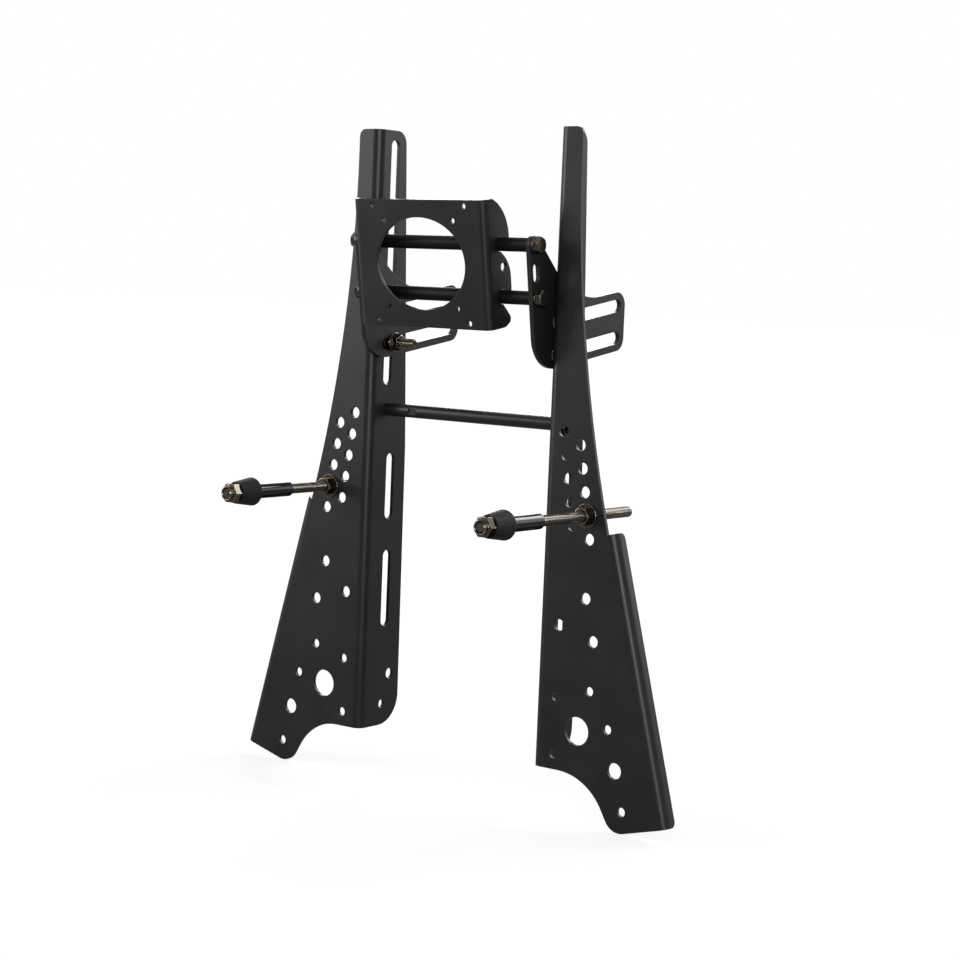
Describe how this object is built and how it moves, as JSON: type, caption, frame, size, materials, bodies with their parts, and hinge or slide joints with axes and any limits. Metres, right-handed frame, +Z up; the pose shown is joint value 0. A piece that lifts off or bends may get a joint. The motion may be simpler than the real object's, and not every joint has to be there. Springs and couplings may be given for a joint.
{
  "type": "cockpit monitor stand",
  "caption": "Monitor stand of folded steel uprights with a tilting, sliding head, a hooked screen bracket and threaded support rods with rubber cones.",
  "frame": {"origin": "midway between the two foot holes, on the front faces of the webs", "axes": "+X to the right seen from in front of the screen, +Y from the screen to the back, +Z up"},
  "size_m": [0.4742, 0.2653, 0.5895],
  "materials": {
    "black_powder_coat": "satin powder coat",
    "black_bar_enamel": "semi-gloss",
    "dark_zinc": "dark plated",
    "rod_steel": "bright thread",
    "black_rubber": "matte",
    "black_sleeve_plastic": "glossy"
  },
  "bodies": {
    "stand": {"left_upright": "black_powder_coat", "right_upright": "black_powder_coat", "cross_bar": "black_bar_enamel", "cross_bar_bolts": "dark_zinc", "cross_bar_washers": "dark_zinc", "rod_front_nuts": "dark_zinc", "rod_front_washers": "dark_zinc", "rod_rear_nuts": "dark_zinc", "rod_rear_washers": "dark_zinc"},
    "clamps": {"lower_clamp_bolts": "dark_zinc", "lower_clamp_washers": "dark_zinc", "lower_clamp_spacers": "dark_zinc", "upper_clamp_bolts": "dark_zinc", "upper_clamp_washers": "dark_zinc", "upper_clamp_spacers": "dark_zinc", "upper_clamp_nut_washers": "dark_zinc", "upper_clamp_nuts": "dark_zinc"},
    "tilt_nuts": {"lower_clamp_nuts": "dark_zinc", "lower_clamp_nut_washers": "dark_zinc"},
    "head": {"left_arm": "black_powder_coat", "right_arm": "black_powder_coat", "upper_head_bar": "black_bar_enamel", "lower_head_bar": "black_bar_enamel", "head_bar_bolts": "dark_zinc", "head_bar_spring_washers": "dark_zinc"},
    "bracket": {"screen_bracket": "black_powder_coat"},
    "left_rod": {"left_support_rod": "rod_steel", "left_tip_nut": "dark_zinc", "left_rubber_cone": "black_rubber", "left_sleeve": "black_sleeve_plastic"},
    "right_rod": {"right_support_rod": "rod_steel", "right_tip_nut": "dark_zinc", "right_rubber_cone": "black_rubber", "right_sleeve": "black_sleeve_plastic"}
  },
  "joints": [
    {"name": "head_height", "type": "slide", "parent": "stand", "child": "clamps", "axis": [0, 0, 1], "range_m": [-0.033, 0.144]},
    {"name": "head_tilt", "type": "hinge", "parent": "clamps", "child": "tilt_nuts", "pos_m": [0, 0.0223, 0.3802], "axis": [1, 0, 0], "range_deg": [-6, 7.5]},
    {"name": "head_depth", "type": "slide", "parent": "tilt_nuts", "child": "head", "axis": [0, -0.987, -0.1607], "range_m": [-0.002, 0.078]},
    {"name": "bracket_shift", "type": "slide", "parent": "head", "child": "bracket", "axis": [1, 0, 0], "range_m": [-0.006, 0.032]},
    {"name": "left_rod_reach", "type": "slide", "parent": "stand", "child": "left_rod", "axis": [0, -1, 0], "range_m": [-0.045, 0.045]},
    {"name": "right_rod_reach", "type": "slide", "parent": "stand", "child": "right_rod", "axis": [0, -1, 0], "range_m": [-0.045, 0.045]}
  ]
}
